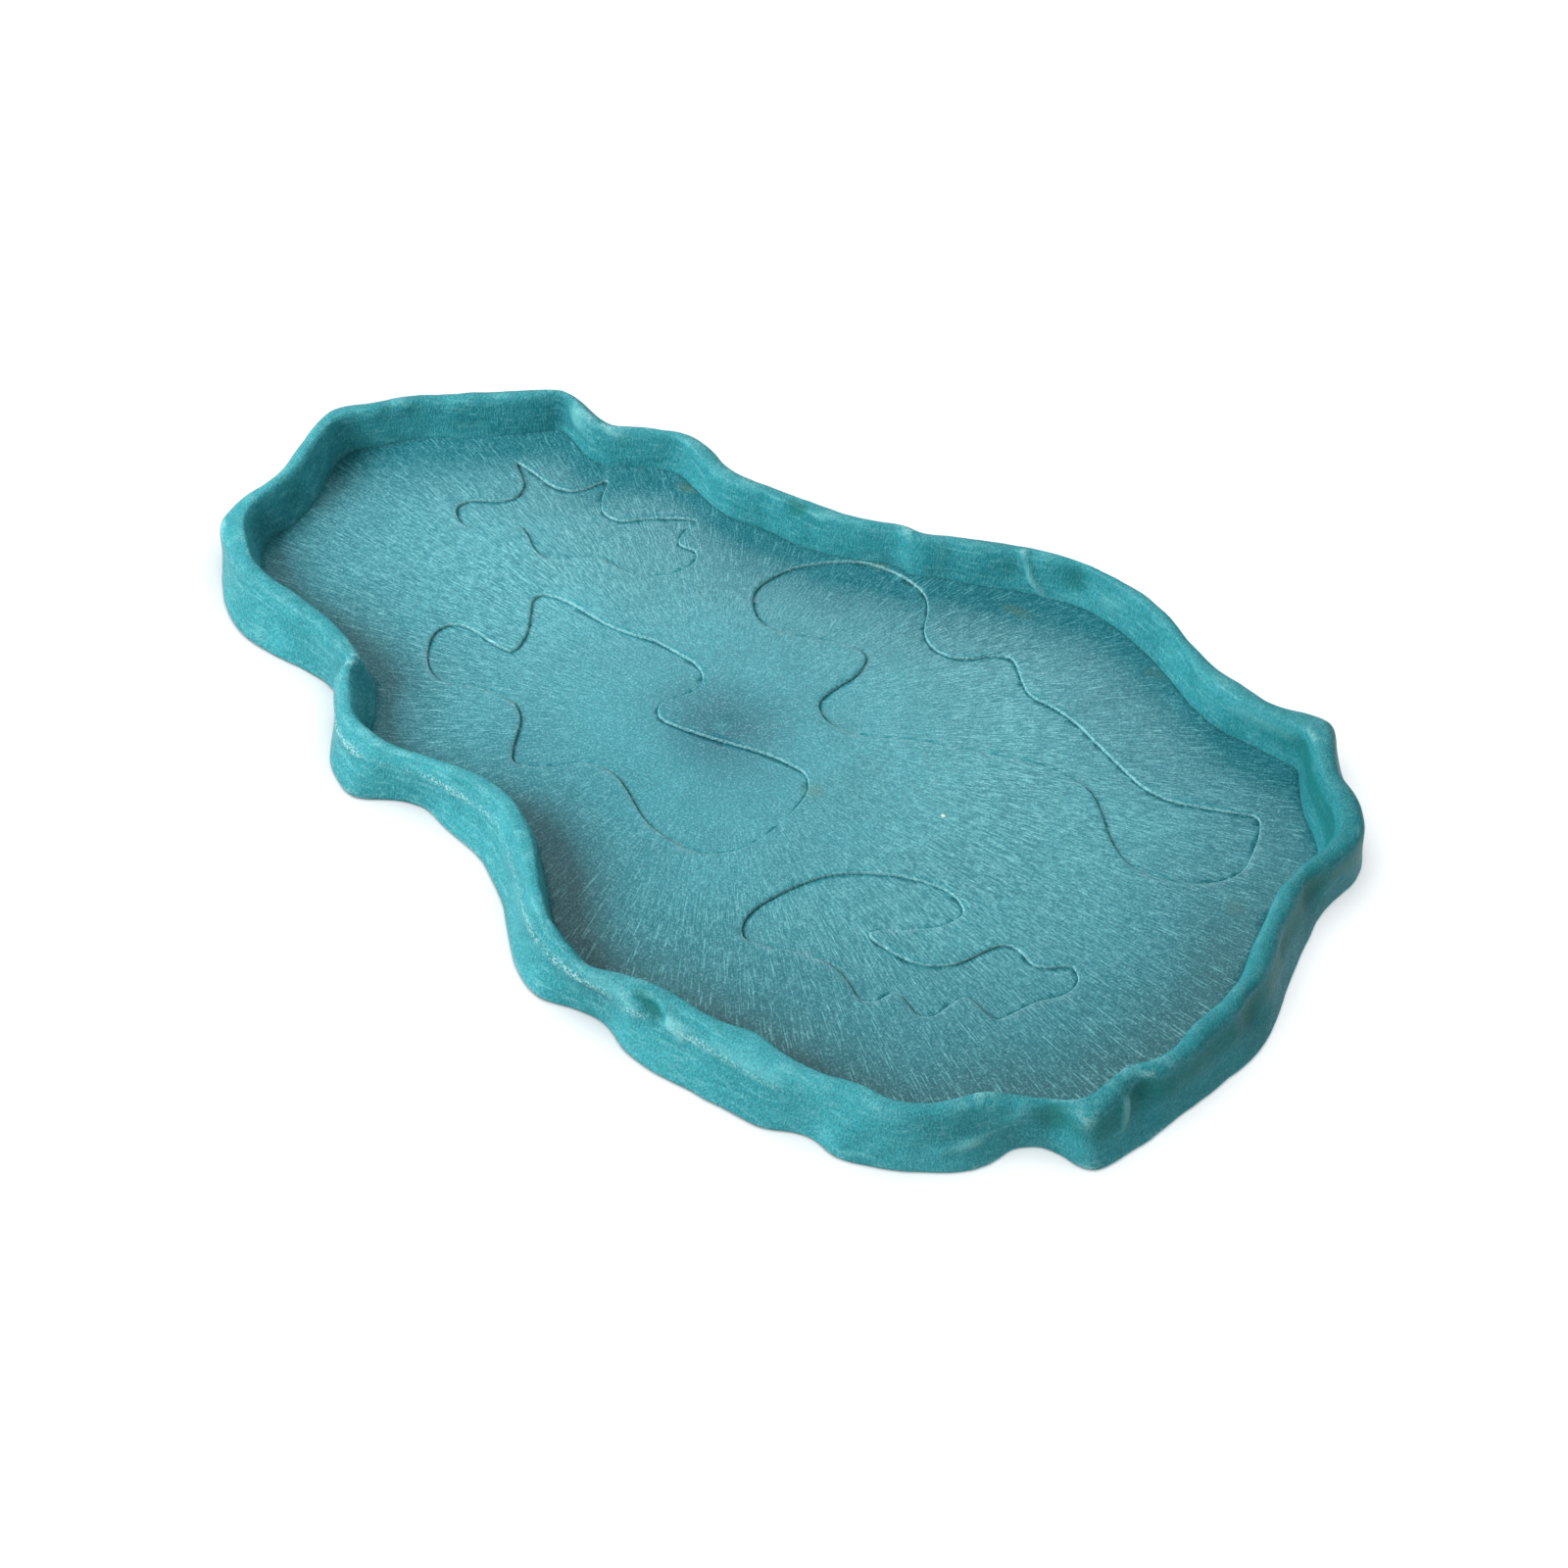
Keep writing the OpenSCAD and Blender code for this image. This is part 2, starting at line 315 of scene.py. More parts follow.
places, facing = read_points(smooth_rim)
raised = sum(mark(places, facing, *rim_mark) for rim_mark in RIM_MARKS)
hold = read_values(smooth_rim, "hold")
wall_foot = places[(hold > 0.99) & (places[:, 2] > 1)]
shoulder = shoulder_push(places, distance_to_floor(places, wall_foot))
push = raised + sum(height * waves(places, size, seed) for size, height, seed in SWELLS) + shoulder
places += (push * (1 - hold))[:, None] * facing
rim_low, rim_high = (np.array(corner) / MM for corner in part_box("rim_wall"))
write_points(smooth_rim, np.clip(places, rim_low, rim_high))
print("pushes from", round(push.min(), 2), "to", round(push.max(), 2), "mm")

# %% [markdown]
# ## Where the skin is convex
# On the real tray every rounded edge shows pale in the light and every fold dark; the rim's finish
# paints that highlight and shade. The mesh knows which is which: where a point stands proud of its
# neighbours the skin is convex. The measure is kept on the mesh as an attribute, for the rim's
# finish to read. So are the pushes of the marks and of the shoulder: the finish paints shade in a
# dent, a highlight on a fold, and small glints on the shoulder.

# %% Measure how convex the rim is
EVEN_OUT = 7


def neighbour_mean(values, ends, count):
    """Each point's mean over the points that share an edge with it."""
    total = np.zeros((count, *values.shape[1:]))
    np.add.at(total, ends[:, 0], values[ends[:, 1]])
    np.add.at(total, ends[:, 1], values[ends[:, 0]])
    shares = np.bincount(ends.ravel(), minlength=count)
    return total / shares.reshape(-1, *[1] * (values.ndim - 1))


def store_convex(mesh):
    """Writes the attribute "convex": about 1 on an edge of 1 mm radius, below 0 in a fold."""
    places, facing = read_points(mesh)
    ends = np.array([e.vertices[:] for e in mesh.edges])
    count = len(places)
    lengths = np.linalg.norm(places[ends[:, 0]] - places[ends[:, 1]], axis=1)
    size = np.bincount(ends.ravel(), weights=np.repeat(lengths, 2), minlength=count)
    size /= np.bincount(ends.ravel(), minlength=count)
    proud = np.einsum("ij,ij->i", places - neighbour_mean(places, ends, count), facing)
    convex = np.clip(4 * proud / size ** 2, -2, 2)
    for _ in range(EVEN_OUT):
        convex = neighbour_mean(convex, ends, count)
    write_values(mesh, "convex", convex)
    return convex


convex = store_convex(smooth_rim)
write_values(smooth_rim, "raised", raised)
write_values(smooth_rim, "shoulder", shoulder)
smooth_rim.attributes.remove(smooth_rim.attributes["hold"])
smooth_rim.shade_smooth()
rim_piece = bpy.data.objects.new("rim", smooth_rim)
bpy.context.scene.collection.objects.link(rim_piece)
stand_for(rim_piece, "rim_wall")
print("convex from", round(convex.min(), 2), "to", round(convex.max(), 2))

# %% [markdown]
# ## The floor and its pools
# The floor sheet and the pool beds share their outlines, so both are made from the same loops: the
# top edges of the CAD floor. Each loop is cut and eased twice, which is the same curve that
# subdivision gave the rim's foot, so the floor still meets the wall exactly.

# %% Loops from the CAD floor
LOOP_ROUNDS = RIM_LEVELS


def top_loops(node, height):
    """The eased outlines of a node's top face, as a mesh of loose edges."""
    bm = merged_copy(node)
    keep = {e for e in bm.edges if at_height(e, height) and e.calc_face_angle() > SHARP_TURN}
    bmesh.ops.delete(bm, geom=[e for e in bm.edges if e not in keep], context="EDGES_FACES")
    bmesh.ops.delete(bm, geom=[v for v in bm.verts if not v.link_edges], context="VERTS")
    for _ in range(LOOP_ROUNDS):
        bmesh.ops.subdivide_edges(bm, edges=bm.edges, cuts=1)
        bmesh.ops.smooth_vert(bm, verts=bm.verts, factor=0.5, use_axis_x=True, use_axis_y=True)
    return bm


floor_loops = top_loops("floor_sheet", FLOOR_TOP)
print("floor outline and pool edges:", len(floor_loops.edges), "short edges")

# %% [markdown]
# ## A sheet with rounded edges
# Cast rubber never has a knife edge: where the floor breaks off into a pool the edge is rounded by
# a third of a millimetre, and that thin round is the bright or dark line that draws the pool.
# Two insets make the round, and lowering the outer rings bends it down. Then the sheet is cut into
# a fine even grid, so that it can be rippled, and its border is pulled down into walls.

# %% Making a sheet
GRID = 2 * MM
ROUND_RINGS = [(0.14, 0.3), (0.22, 0.1)]


def on_grid_line(edge):
    """True if the edge lies along one of the grid's cuts."""
    a, b = (v.co / GRID for v in edge.verts)
    return any(abs(a[i] - b[i]) < 1e-4 and abs(a[i] - round(a[i])) < 1e-4 for i in (0, 1))


def cut_grid(bm):
    """Cuts the sheet along every line of an even grid and tidies each cell into one face."""
    for axis in (Vector((1, 0, 0)), Vector((0, 1, 0))):
        reach = [v.co.dot(axis) / GRID for v in bm.verts]
        for line in range(math.ceil(min(reach)), math.floor(max(reach)) + 1):
            bmesh.ops.bisect_plane(bm, geom=bm.verts[:] + bm.edges[:] + bm.faces[:], dist=MERGE / 10,
                                   plane_co=axis * line * GRID, plane_no=axis)
    flat = {f for f in bm.faces if f.normal.z > 0.99999}
    loose = [e for e in bm.edges if len(e.link_faces) == 2 and flat.issuperset(e.link_faces)
             and not on_grid_line(e)]
    bmesh.ops.dissolve_edges(bm, edges=loose, use_verts=False)
    spare = [v for v in bm.verts if len(v.link_edges) == 2 and not v.is_boundary]
    bmesh.ops.dissolve_verts(bm, verts=spare)


def sheet(loops, rings):
    """Fills the loops with a gridded sheet whose border is rounded by rings of (width, drop) in mm."""
    bmesh.ops.triangle_fill(loops, use_beauty=True, edges=loops.edges, normal=(0, 0, 1))
    bmesh.ops.recalc_face_normals(loops, faces=loops.faces)
    # The rounded rings are marked for the floor's painted edge highlight
    edge_highlight = loops.verts.layers.float.new("edge_highlight")
    loops.normal_update()
    inner = loops.faces[:]
    if inner[0].normal.z < 0:
        bmesh.ops.reverse_faces(loops, faces=inner)
    for width, _ in rings:
        bmesh.ops.inset_region(loops, faces=inner, thickness=width * MM, use_boundary=True,
                               use_even_offset=True)
    passed = set()
    ring = {v for v in loops.verts if v.is_boundary}
    for _, drop in rings:
        bmesh.ops.translate(loops, verts=list(ring), vec=(0, 0, -drop * MM))
        for point in ring:
            point[edge_highlight] = 1
        passed |= ring
        ring = {e.other_vert(v) for v in ring for e in v.link_edges} - passed
    loops.normal_update()
    cut_grid(loops)
    return loops


def ripple(bm, swells):
    """Small ups and downs of a sheet, from (size, height, seed) in mm."""
    for point in bm.verts:
        if not point.is_boundary:
            for size, height, seed in swells:
                point.co.z += height * MM * swell(point.co / MM, size, seed)


def close_down(bm):
    """Pulls the sheet's border down to the table and closes the underside."""
    border = [e for e in bm.edges if e.is_boundary]
    made = bmesh.ops.extrude_edge_only(bm, edges=border)["geom"]
    for point in made:
        if isinstance(point, bmesh.types.BMVert):
            point.co.z = 0
    bottom = [e for e in bm.edges if e.is_boundary]
    for edge in bottom:
        edge.smooth = False
    bmesh.ops.triangle_fill(bm, use_beauty=True, edges=bottom, normal=(0, 0, -1))
    bmesh.ops.recalc_face_normals(bm, faces=bm.faces)


# %% [markdown]
# ## The floor
# The floor isn't dead flat: it has slow swells of a tenth of a millimetre, and a tiny dimple at the
# gate, the spot in the middle where the rubber was poured into its pattern.

# %% Floor
FLOOR_SWELLS = [(26, 0.10, 5), (9, 0.04, 6), (3.5, 0.02, 7)]
GATE = (-4.0, 4.0, 0.0)
DIMPLE_DEPTH = 0.12
DIMPLE_REACH = 2.2

sheet(floor_loops, ROUND_RINGS)
ripple(floor_loops, FLOOR_SWELLS)
gate = Vector(GATE) * MM
gate.z = FLOOR_TOP
for point in floor_loops.verts:
    away = (point.co - gate).length / MM
    point.co.z -= DIMPLE_DEPTH * MM * math.exp(-(away / DIMPLE_REACH) ** 2)
close_down(floor_loops)
highest = max(v.co.z for v in floor_loops.verts)
print("floor sheet:", len(floor_loops.faces), "faces, highest", round(highest / MM, 3), "mm")
floor_piece = new_piece("floor", floor_loops)
stand_for(floor_piece, "floor_sheet")


def store_from_wall(mesh):
    """Writes the attribute "from_wall": the distance to the wall's foot in mm."""
    places, _ = read_points(mesh)
    away = distance_to_floor(places, wall_foot)
    write_values(mesh, "from_wall", away)
    return away


print("furthest from the wall:", round(store_from_wall(floor_piece.data).max()), "mm")

# %% [markdown]
# ## The pool beds
# Each pool is a plain flat sink, 0.8 mm deep, whose bed is a little smoother than the floor. The
# beds are made in the same way, with no rounding, since their border hides under the floor's edge.

# %% Beds
BED_SWELLS = [(18, 0.05, 8), (5, 0.02, 9)]
POOLS = ("back_left_pool", "front_left_pool", "back_right_pool", "front_right_pool")

for pool in POOLS:
    node = pool + "_bed"
    bed = top_loops(node, POOL_TOP)
    sheet(bed, [])
    ripple(bed, BED_SWELLS)
    close_down(bed)
    print(pool, len(bed.faces), "faces")
    bed_piece = new_piece(pool, bed)
    store_from_wall(bed_piece.data)
    stand_for(bed_piece, node)

# %% [markdown]
# ## How a finish is written
# A finish is a graph of nodes. Small helpers keep it short: they add a node and join its inputs,
# add a sum, a smooth step, a mix or plain noise, and start a group with named sockets, so that an
# effect is written once and used in every finish that shows it.

# %% Helpers for finishes


def add(tree, kind, inputs=(), **settings):
    """Adds a node. Each input is a value or the socket that feeds it."""
    node = tree.nodes.new("ShaderNode" + kind)
    for name, value in settings.items():
        setattr(node, name, value)
    for name, value in dict(inputs).items():
        if isinstance(value, bpy.types.NodeSocket):
            tree.links.new(value, node.inputs[name])
        else:
            node.inputs[name].default_value = value
    return node


def maths(tree, operation, *values):
    """The result of a sum with up to three values or sockets."""
    return add(tree, "Math", dict(enumerate(values)), operation=operation).outputs[0]


def vectors(tree, operation, *values, out="Vector"):
    """The result of a sum with vectors."""
    return add(tree, "VectorMath", dict(enumerate(values)), operation=operation).outputs[out]


def ease(tree, value, low, high, least=0.0, most=1.0):
    """A smooth step from least to most as the value goes from low to high."""
    inputs = {"Value": value, "From Min": low, "From Max": high, "To Min": least, "To Max": most}
    return add(tree, "MapRange", inputs, interpolation_type="SMOOTHSTEP").outputs[0]


def blend(tree, share, first, second):
    """A mix of two colours."""
    inputs = {0: share, 6: first, 7: second}
    return add(tree, "Mix", inputs, data_type="RGBA").outputs[2]


def speckle(tree, place, scale, detail=2.0, rough=0.5):
    """Plain noise between about 0 and 1."""
    inputs = {"Vector": place, "Scale": scale, "Detail": detail, "Roughness": rough}
    return add(tree, "TexNoise", inputs).outputs["Fac"]


def group(name, takes, gives):
    """A new group with vector or number inputs and number outputs. Gives its tree and end nodes."""
    tree = bpy.data.node_groups.new(name, "ShaderNodeTree")
    for title, kind in takes:
        tree.interface.new_socket(title, in_out="INPUT", socket_type="NodeSocket" + kind)
    for title in gives:
        tree.interface.new_socket(title, in_out="OUTPUT", socket_type="NodeSocketFloat")
    start = tree.nodes.new("NodeGroupInput")
    end = tree.nodes.new("NodeGroupOutput")
    return tree, start.outputs, end.inputs


def use(tree, made, inputs):
    """The results of a group's node inside another tree."""
    return add(tree, "Group", inputs, node_tree=made).outputs


def colour(code):
    """A colour from its six-figure web code."""
    parts = (int(code[i:i + 2], 16) / 255 for i in (0, 2, 4))
    return (*(c / 12.92 if c <= 0.04045 else ((c + 0.055) / 1.055) ** 2.4 for c in parts), 1.0)


# %% [markdown]
# ## Pearl strokes
# The rubber is full of fine pearl powder. When the tray was cast it ran outwards from the gate in
# the middle of the floor, and drew the powder out into short pale strokes. The group makes noise in
# rings round the gate: in each ring the direction from the gate is wrapped on a circle about as wide
# as the ring, so that the strokes stay equally fine, and they are long only along the flow.

# %% Group of strokes that fan out from the gate
# Each ring: the radius at which its strokes have their true width, and where it takes over, in mm
RINGS = [(7, 0), (16, 10), (34, 23), (64, 48), (110, 88)]
TAKE_OVER = 3.0


def fan_strokes():
    """Group: how much pearl shows at a place in millimetres, in strokes of a width and length."""
    takes = [("Place", "Vector"), ("Width", "Float"), ("Length", "Float")]
    tree, given, result = group("fan strokes", takes, ["Strokes"])
    from_gate = vectors(tree, "SUBTRACT", given["Place"], GATE)
    flat = vectors(tree, "MULTIPLY", from_gate, (1, 1, 0))
    away = vectors(tree, "LENGTH", flat, out="Value")
    heading = vectors(tree, "NORMALIZE", flat)
    along = maths(tree, "DIVIDE", away, given["Length"])
    total = None
    for seed, (radius, begin) in enumerate(RINGS):
        across = add(tree, "VectorMath", {0: heading}, operation="SCALE")
        tree.links.new(maths(tree, "DIVIDE", float(radius), given["Width"]), across.inputs["Scale"])
        split = add(tree, "SeparateXYZ", {0: across.outputs[0]})
        place = add(tree, "CombineXYZ", {0: split.outputs[0], 1: split.outputs[1], 2: along})
        shifted = vectors(tree, "ADD", place.outputs[0], (seed * 13.7, seed * 3.1, seed * 7.9))
        strokes = speckle(tree, shifted, 1.0, 1.0)
        if total is None:
            total = strokes
        else:
            share = ease(tree, away, begin - TAKE_OVER, begin + TAKE_OVER)
            total = add(tree, "Mix", {0: share, 2: total, 3: strokes}).outputs[0]
    tree.links.new(total, result["Strokes"])
    return tree


FAN_STROKES = fan_strokes()
print("fan strokes:", len(FAN_STROKES.nodes), "nodes")

# %% [markdown]
# ## Grain and crossed fibres
# Close up, the skin is never smooth: it has a grain of pearl specks, and on the wall the powder lies
# in short crossed strokes and in slow level lines, where the rubber flowed round the pattern.

# %% Groups of grain, fibres and spots


def grain():
    """Group: fine specks, patches of a few millimetres and slow clouds, all about 0 to 1."""
    gives = ["Specks", "Pepper", "Patches", "Clouds"]
    tree, given, result = group("grain", [("Place", "Vector")], gives)
    tree.links.new(speckle(tree, given["Place"], 0.33, 2.0), result["Patches"])
    specks = speckle(tree, given["Place"], 1.9, 2.0, 0.65)
    tree.links.new(specks, result["Specks"])
    tree.links.new(ease(tree, specks, 0.36, 0.64, -0.5, 0.5), result["Pepper"])
    tree.links.new(speckle(tree, given["Place"], 0.045, 3.0, 0.55), result["Clouds"])
    return tree


def crossed_fibres():
    """Group: short crossed strokes on a wall, and the slow lines in which it flowed."""
    tree, given, result = group("crossed fibres", [("Place", "Vector")], ["Fibres", "Flow"])
    ways = []
    for turn, scale in ((0.5, (2.4, 2.4, 0.5)), (-0.6, (2.2, 2.2, 0.55))):
        turned = add(tree, "Mapping", {"Vector": given["Place"], "Rotation": (turn, turn * 0.7, 0),
                                       "Scale": scale})
        ways.append(speckle(tree, turned.outputs[0], 1.0, 1.0))
    tree.links.new(maths(tree, "MAXIMUM", *ways), result["Fibres"])
    lying = add(tree, "Mapping", {"Vector": given["Place"], "Rotation": (0.14, -0.12, 0.3),
                                  "Scale": (0.16, 0.22, 0.9)})
    tree.links.new(speckle(tree, lying.outputs[0], 1.0, 2.0, 0.6), result["Flow"])
    return tree


def spot():
    """Group: 1 at a centre and 0 beyond its reach, both in millimetres."""
    takes = [("Place", "Vector"), ("Centre", "Vector"), ("Reach", "Vector")]
    tree, given, result = group("spot", takes, ["Spot"])
    offset = vectors(tree, "SUBTRACT", given["Place"], given["Centre"])
    away = vectors(tree, "LENGTH", vectors(tree, "DIVIDE", offset, given["Reach"]), out="Value")
    tree.links.new(ease(tree, away, 1.0, 0.0), result["Spot"])
    return tree


GRAIN = grain()
CROSSED_FIBRES = crossed_fibres()
SPOT = spot()
print("groups:", [g.name for g in bpy.data.node_groups])

# %% [markdown]
# ## Starting a finish and painting in layers
# Every finish starts with one shader and works in millimetres on the object. Its colour is built as
# a painter would: a ground tone, then thin coats, each laid only where its masks let it through.

# %% Start of a finish
TO_MM = 1 / MM


def start_finish(name):
    """A material with one shader, and the place on the object in millimetres."""
    material = bpy.data.materials.new(name)
    material.use_nodes = True
    tree = material.node_tree
    shader = tree.nodes["Principled BSDF"]
    place = add(tree, "Mapping", {"Vector": add(tree, "TexCoord").outputs["Object"],
                                  "Scale": (TO_MM, TO_MM, TO_MM)}).outputs[0]
    return material, tree, shader, place


def feed(tree, shader, **sockets):
    """Joins sockets to the shader's inputs."""
    for name, value in sockets.items():
        tree.links.new(value, shader.inputs[name.replace("_", " ")])


def settle(shader, **values):
    """Sets the shader's constant inputs."""
    for name, value in values.items():
        shader.inputs[name.replace("_", " ")].default_value = value


def kept(tree, name):
    """A number that was kept on the mesh."""
    return add(tree, "Attribute", attribute_name=name).outputs["Fac"]


def coat(tree, tone, code, share, *masks):
    """The tone under a coat of a colour, as thick as its share and as its masks allow."""
    for mask in masks:
        share = maths(tree, "MULTIPLY", mask, share)
    return blend(tree, share, tone, colour(code))


def pepper(tree, tone, pepper_mask, share):
    """The tone made brighter and darker by the grain."""
    value = maths(tree, "MULTIPLY_ADD", pepper_mask, share, 1.0)
    return add(tree, "HueSaturation", {"Value": value, "Color": tone}).outputs[0]


# %% [markdown]
# ## The finish of the floor and the pools
# The floor is the palest part. Its colour starts from one turquoise, which clouds shift a little
# towards the deep tone. Strokes lie over it: faint near the gate, clear and long further out. A
# dark ring of clean rubber surrounds the gate. Painted shade deepens the tone towards the wall and
# the front, and the front wall's shadow is painted on the floor beside it. A painted highlight lies
# along the floor's rounded edges round the pools. Old resin has left a few faint brown stains, and
# there is one white speck.

# %% Floor and pool finish
DEEP, MIDDLE, PALE = "17707a", "33909b", "7fcacf"
CLEAN, HEART = "0c6372", "4c9ea5"
# Painted shade near the wall and at the front, and the front wall's painted shadow
PAINTED_SHADE_NEAR_WALL, PAINTED_SHADE_AT_FRONT, PAINTED_FRONT_WALL_SHADOW = "0c6672", "13646e", "2d5f63"
# The second colour here is a painted highlight for the rounded edges
FLECK, PAINTED_POOL_EDGE_HIGHLIGHT, BROWN, WHITE = "a9ccd0", "a5dcde", "6a7a58", "f2fbfb"
STROKE_SHARE = 0.5
FRONT_WAY = (0.35, -0.94, 0)
STAINS = [((-54, 74, 3), (5, 3, 9), 0.4, BROWN), ((4, 74, 3), (5, 3, 9), 0.45, BROWN),
          ((44, 75, 3), (7, 3, 9), 0.3, BROWN), ((84, 72, 3), (5, 4, 9), 0.2, BROWN),
          ((26, -3.5, 3), (5, 4, 9), 0.25, BROWN), ((131, 12, 3), (4, 4, 9), 0.15, BROWN),
          ((57.6, 4.5, 3), (0.9, 0.7, 4), 0.95, WHITE)]


def spot_at(tree, place, centre, reach):
    """The spot group's mask."""
    return use(tree, SPOT, {"Place": place, "Centre": centre, "Reach": reach})["Spot"]


def strokes_of(tree, place, width, length):
    """The fan stroke group's mask."""
    return use(tree, FAN_STROKES, {"Place": place, "Width": width, "Length": length})["Strokes"]


def shade_by_place(tree, place, tone):
    """Painted shade: deepens the tone towards the wall and the front, and paints the front wall's shadow
    on the floor beside it.
    """
    wall = kept(tree, "from_wall")
    front = vectors(tree, "DOT_PRODUCT", place, FRONT_WAY, out="Value")
    # Painted shade towards the wall and the front, then the painted shadow of the front wall
    tone = coat(tree, tone, PAINTED_SHADE_NEAR_WALL, 0.6, ease(tree, wall, 46.0, 3.0))
    tone = coat(tree, tone, PAINTED_SHADE_AT_FRONT, 0.45, ease(tree, front, 0.0, 110.0))
    return coat(tree, tone, PAINTED_FRONT_WALL_SHADOW, 0.6, ease(tree, wall, 21.0, 2.0), ease(tree, front, 14.0, 60.0))


def floor_finish():
    """The finish of the level surfaces: clouds, strokes, the gate's dark ring and stains."""
    material, tree, shader, place = start_finish("pearl floor")
    grains = use(tree, GRAIN, {"Place": place})
    strokes = strokes_of(tree, place, 0.24, 2.6)
    away = vectors(tree, "LENGTH", vectors(tree, "SUBTRACT", place, GATE), out="Value")
    strength = ease(tree, away, 16.0, 75.0, 0.12 * STROKE_SHARE, STROKE_SHARE)
    tone = coat(tree, colour(MIDDLE), DEEP, 0.3, ease(tree, grains["Clouds"], 0.35, 0.65))
    tone = coat(tree, tone, PALE, strength, ease(tree, strokes, 0.46, 0.68))
    tone = coat(tree, tone, DEEP, strength, ease(tree, strokes, 0.52, 0.32))
    tone = coat(tree, tone, CLEAN, 0.95, spot_at(tree, place, GATE, (27.0, 22.0, 60.0)))
    tone = coat(tree, tone, HEART, 0.5, spot_at(tree, place, GATE, (3.6, 3.6, 30.0)))
    tone = shade_by_place(tree, place, tone)
    tone = coat(tree, tone, PALE, strength, ease(tree, strokes_of(tree, place, 0.33, 6.0), 0.58, 0.74))
    tone = pepper(tree, tone, grains["Pepper"], 0.42)
    tone = coat(tree, tone, FLECK, 0.26, ease(tree, grains["Specks"], 0.55, 0.7))
    # Painted highlight along the floor's rounded edges, broken by the specks
    tone = coat(tree, tone, PAINTED_POOL_EDGE_HIGHLIGHT, kept(tree, "edge_highlight"), ease(tree, grains["Specks"], 0.35, 0.6, 0.1, 0.5))
    for centre, reach, share, code in STAINS:
        tone = coat(tree, tone, code, share, spot_at(tree, place, centre, reach))
    height = maths(tree, "ADD", strokes, maths(tree, "MULTIPLY", grains["Specks"], 0.8))
    bump = add(tree, "Bump", {"Height": height, "Strength": 0.6, "Distance": 0.12 * MM})
    shine = ease(tree, strokes, 0.3, 0.7, 0.5, 0.36)
    feed(tree, shader, Base_Color=tone, Roughness=shine, Normal=bump.outputs[0])
    settle(shader, Specular_IOR_Level=0.35, Coat_Weight=0.06, Coat_Roughness=0.35)
    return material


floor_look = floor_finish()
floor_piece.data.materials.append(floor_look)
for pool in POOLS:
    bpy.data.objects[pool].data.materials.append(floor_look)
print("floor finish:", len(floor_look.node_tree.nodes), "nodes")

# %% [markdown]
# ## The finish of the rim
# The wall's powder lies crossed and in level flow lines. Painted shade darkens every fold and dent
# to a greenish tone, and painted highlights make raised folds pale and every convex edge pale in
# broken patches, which the kept attributes tell. Painted shade deepens the right end, most of all in
# the hollow under the lip, and along the front the shoulder carries small painted glints.

# %% Rim finish
# The last two are painted shade, in folds and in dents
WALL, WALL_CLOUD, PAINTED_SHADE_IN_FOLDS, PAINTED_SHADE_IN_DENTS = "37969f", "29848d", "176068", "126864"
CROSSED, FLOWED, FLOW_GAP = "6ab8bc", "7cc6c9", "22747b"
# Painted shade at the right end and under the lip
PAINTED_SHADE_RIGHT_END, PAINTED_SHADE_UNDER_LIP = "13747b", "0e6b68"
# Painted highlights: on folds, as glints on the shoulder, and on convex edges
PAINTED_HIGHLIGHT_ON_FOLDS, GLINT, PAINTED_HIGHLIGHT_ON_EDGES = "86cfd1", "c9e8e8", "a3dadc"


def paint_shade_at_the_right(tree, place, tone):
    """Painted shade: deepens the tone towards the right end, where the light falls off, and most of all in
    the hollow under the lip.
    """
    along, _, up = add(tree, "SeparateXYZ", {0: place}).outputs
    tone = coat(tree, tone, PAINTED_SHADE_RIGHT_END, 0.4, ease(tree, along, 95.0, 150.0))
    shade_under_lip = maths(tree, "MULTIPLY", ease(tree, up, 5.5, 9.5), ease(tree, up, 13.6, 11.6))
    return coat(tree, tone, PAINTED_SHADE_UNDER_LIP, 0.6, shade_under_lip, ease(tree, along, 112.0, 132.0))


